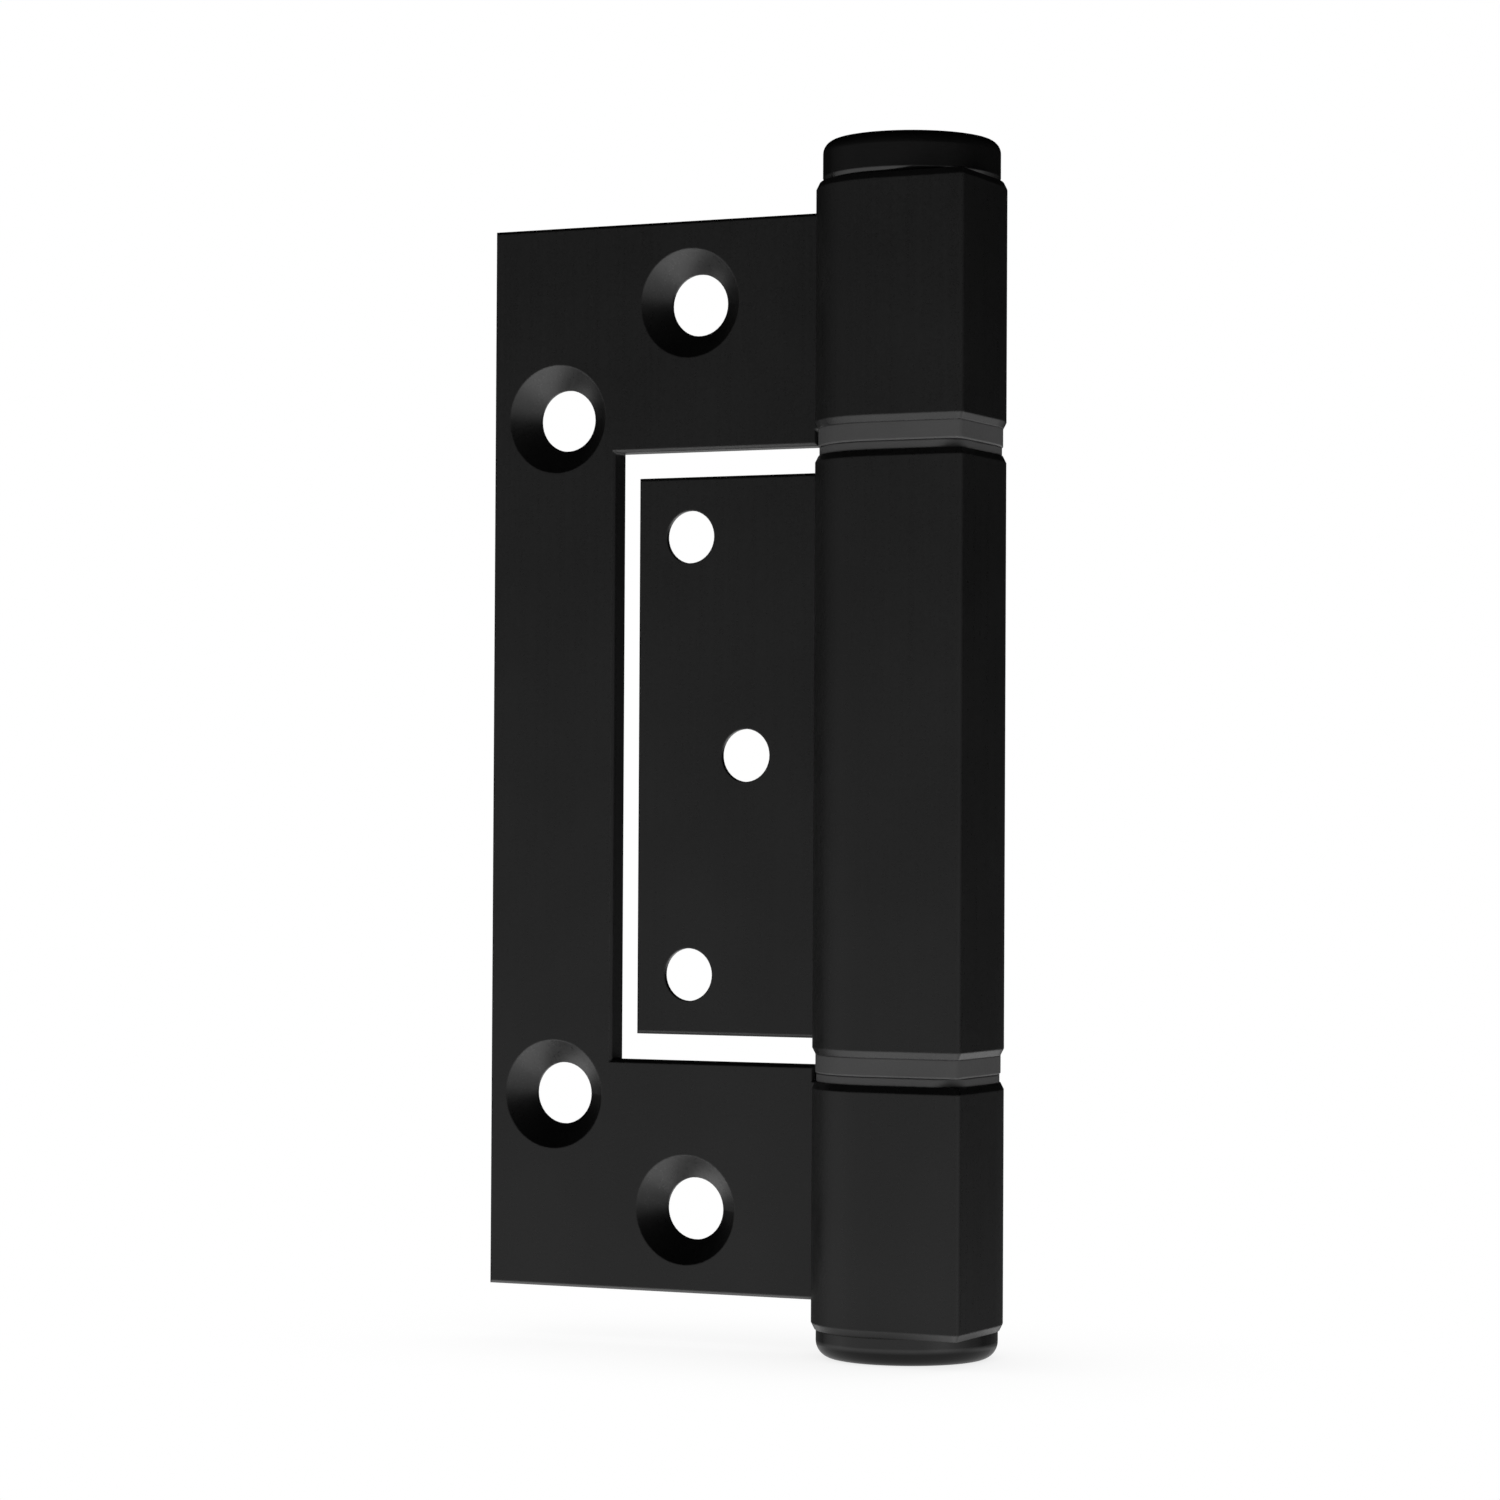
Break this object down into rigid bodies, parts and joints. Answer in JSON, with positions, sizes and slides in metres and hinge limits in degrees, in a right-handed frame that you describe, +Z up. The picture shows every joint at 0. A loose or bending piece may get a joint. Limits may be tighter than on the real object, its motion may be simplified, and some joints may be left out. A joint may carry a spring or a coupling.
{
  "type": "flush door hinge",
  "caption": "Flush door hinge: a small leaf nests in the window of a large leaf, on a bushed pin with end caps.",
  "frame": {"origin": "on the pin's axis, at the barrel's mid-height", "axes": "+Z up the pin's axis, both leaves reach towards -X when shut, -Y is the face that shows the outer leaf's screw heads"},
  "size_m": [0.0515, 0.0176, 0.1111],
  "materials": {
    "black_coat": "fine satin black coating on aluminium",
    "pin_steel": "drawn stainless steel",
    "ring_steel": "sprung steel, lightly oiled",
    "grey_nylon": "matt moulded grey nylon",
    "washer_nylon": "matt punched grey nylon",
    "gloss_cap": "glossy moulded black plastic"
  },
  "bodies": {
    "frame_side": {"outer_leaf": "black_coat", "hinge_pin": "pin_steel", "upper_retaining_ring": "ring_steel", "lower_retaining_ring": "ring_steel", "upper_end_bush": "grey_nylon", "upper_ring_bush": "grey_nylon", "lower_wear_washer": "washer_nylon", "lower_top_bush": "grey_nylon", "lower_end_bush": "grey_nylon", "top_cap": "gloss_cap", "bottom_cap": "gloss_cap"},
    "door_side": {"inner_leaf": "black_coat", "middle_top_bush": "grey_nylon", "middle_ring_bush": "grey_nylon", "upper_wear_washer": "washer_nylon"}
  },
  "joints": [
    {"name": "hinge_turn", "type": "hinge", "parent": "frame_side", "child": "door_side", "pos_m": [0, 0, 0], "axis": [0, 0, 1], "range_deg": [0, 180]}
  ]
}
